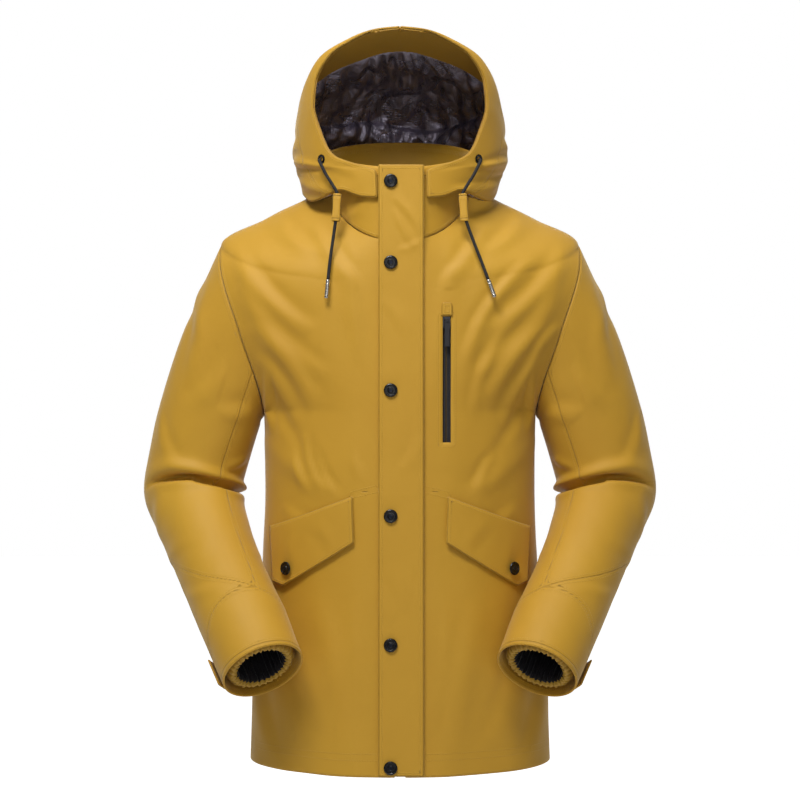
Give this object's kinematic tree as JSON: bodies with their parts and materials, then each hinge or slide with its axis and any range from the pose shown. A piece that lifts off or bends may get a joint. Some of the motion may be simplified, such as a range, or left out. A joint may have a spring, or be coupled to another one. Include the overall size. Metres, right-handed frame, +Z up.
{
  "type": "ski jacket",
  "caption": "Hooded ski jacket with a zipped front under a snapped storm flap, hip pockets with flaps, a chest pocket, bent sleeves and adjustable cuffs.",
  "frame": {"origin": "the hanger loop, at the upper edge of the middle of its strap, inside the back of the collar", "axes": "+Z up towards the hood, -Y out of the front of the jacket, +X to the wearer's left"},
  "size_m": [0.6708, 0.3312, 0.9304],
  "materials": {
    "shell_fabric": "matte woven nylon shell, mustard yellow",
    "black_lining": "shiny black ripstop padded lining",
    "black_plastic": "black acetal",
    "black_webbing": "black woven polyester",
    "black_cord": "black braided cord",
    "bright_metal": "bright plated zinc",
    "cuff_fabric": "gathered nylon storm cuff",
    "pocket_fabric": "thin pocketing"
  },
  "bodies": {
    "root": {"front_panel_right": "shell_fabric", "front_panel_left": "shell_fabric", "back_panel": "shell_fabric", "lining_front_right": "black_lining", "lining_front_left": "black_lining", "lining_back": "black_lining", "collar": "shell_fabric", "hanger_loop": "black_webbing", "main_zip_tape_right": "black_webbing", "main_zip_tape_left": "black_webbing", "main_zip_stop": "black_plastic", "snap_stud_1": "black_plastic", "snap_stud_2": "black_plastic", "snap_stud_3": "black_plastic", "snap_stud_4": "black_plastic", "snap_stud_5": "black_plastic", "snap_stud_6": "black_plastic", "chest_zip_tape_right": "black_webbing", "chest_zip_tape_left": "black_webbing", "chest_zip_garage": "shell_fabric", "chest_pocket_bag": "pocket_fabric", "hip_pocket_bag_right": "pocket_fabric", "hip_pocket_bag_left": "pocket_fabric", "hip_flap_stud_right": "black_plastic", "hip_flap_stud_left": "black_plastic", "hood_base": "shell_fabric", "hood_base_lining": "black_lining", "eyelet_right": "black_plastic", "eyelet_left": "black_plastic", "drawcord_right": "black_cord", "drawcord_left": "black_cord", "cord_tip_right": "bright_metal", "cord_tip_left": "bright_metal", "cord_keeper_right": "shell_fabric", "cord_keeper_left": "shell_fabric"},
    "storm_flap": {"storm_flap": "shell_fabric", "snap_cap_1": "black_plastic", "snap_cap_2": "black_plastic", "snap_cap_3": "black_plastic", "snap_cap_4": "black_plastic", "snap_cap_5": "black_plastic", "snap_cap_6": "black_plastic"},
    "main_slider": {"main_zip_slider": "bright_metal", "main_zip_pull": "bright_metal"},
    "chest_slider": {"chest_zip_slider": "bright_metal"},
    "chest_pull": {"chest_zip_pull": "black_plastic"},
    "hood_crown": {"hood_crown": "shell_fabric", "hood_crown_lining": "black_lining"},
    "hip_flap_right": {"hip_flap_right": "shell_fabric", "hip_flap_cap_right": "black_plastic"},
    "upper_sleeve_right": {"upper_sleeve_right": "shell_fabric"},
    "lower_sleeve_right": {"lower_sleeve_right": "shell_fabric", "storm_cuff_right": "cuff_fabric"},
    "cuff_tab_right": {"cuff_tab_right": "shell_fabric"},
    "hip_flap_left": {"hip_flap_left": "shell_fabric", "hip_flap_cap_left": "black_plastic"},
    "upper_sleeve_left": {"upper_sleeve_left": "shell_fabric"},
    "lower_sleeve_left": {"lower_sleeve_left": "shell_fabric", "storm_cuff_left": "cuff_fabric"},
    "cuff_tab_left": {"cuff_tab_left": "shell_fabric"}
  },
  "joints": [
    {"name": "hood_fold", "type": "hinge", "parent": "root", "child": "hood_crown", "pos_m": [0, 0.04964, 0.004], "axis": [-1, 0, 0], "range_deg": [0, 80]},
    {"name": "storm_flap_open", "type": "hinge", "parent": "root", "child": "storm_flap", "pos_m": [0.0293, -0.20816, -0.75895], "axis": [0, 0.03, 0.9996], "range_deg": [0, 120]},
    {"name": "main_zip_slide", "type": "slide", "parent": "root", "child": "main_slider", "axis": [0, -0.03, -0.9996], "range_m": [0, 0.69]},
    {"name": "chest_zip_slide", "type": "slide", "parent": "root", "child": "chest_slider", "axis": [0, -0.0085, -1], "range_m": [0, 0.13]},
    {"name": "chest_pull_swing", "type": "hinge", "parent": "chest_slider", "child": "chest_pull", "pos_m": [0.05823, -0.1884, -0.19799], "axis": [-0.9883, -0.1525, 0.0013], "range_deg": [0, 90]},
    {"name": "hip_flap_right", "type": "hinge", "parent": "root", "child": "hip_flap_right", "pos_m": [-0.10628, -0.17847, -0.43292], "axis": [-0.8277, 0.4539, -0.33], "range_deg": [0, 100]},
    {"name": "sleeve_raise_right", "type": "hinge", "parent": "root", "child": "upper_sleeve_right", "pos_m": [-0.232, -0.06836, -0.096], "axis": [0, 1, 0], "range_deg": [0, 45]},
    {"name": "elbow_right", "type": "hinge", "parent": "upper_sleeve_right", "child": "lower_sleeve_right", "pos_m": [-0.31967, -0.00357, -0.43258], "axis": [-0.7353, -0.6511, 0.1879], "range_deg": [-45, 0]},
    {"name": "cuff_tab_right", "type": "hinge", "parent": "lower_sleeve_right", "child": "cuff_tab_right", "pos_m": [-0.22543, -0.21978, -0.62582], "axis": [-0.364, 0.6133, 0.701], "range_deg": [0, 80]},
    {"name": "hip_flap_left", "type": "hinge", "parent": "root", "child": "hip_flap_left", "pos_m": [0.10628, -0.17847, -0.43292], "axis": [-0.8277, -0.4539, 0.33], "range_deg": [0, 100]},
    {"name": "sleeve_raise_left", "type": "hinge", "parent": "root", "child": "upper_sleeve_left", "pos_m": [0.232, -0.06836, -0.096], "axis": [0, -1, 0], "range_deg": [0, 45]},
    {"name": "elbow_left", "type": "hinge", "parent": "upper_sleeve_left", "child": "lower_sleeve_left", "pos_m": [0.31967, -0.00357, -0.43258], "axis": [-0.7353, 0.6511, -0.1879], "range_deg": [-45, 0]},
    {"name": "cuff_tab_left", "type": "hinge", "parent": "lower_sleeve_left", "child": "cuff_tab_left", "pos_m": [0.22543, -0.21978, -0.62582], "axis": [-0.364, -0.6133, -0.701], "range_deg": [0, 80]}
  ]
}
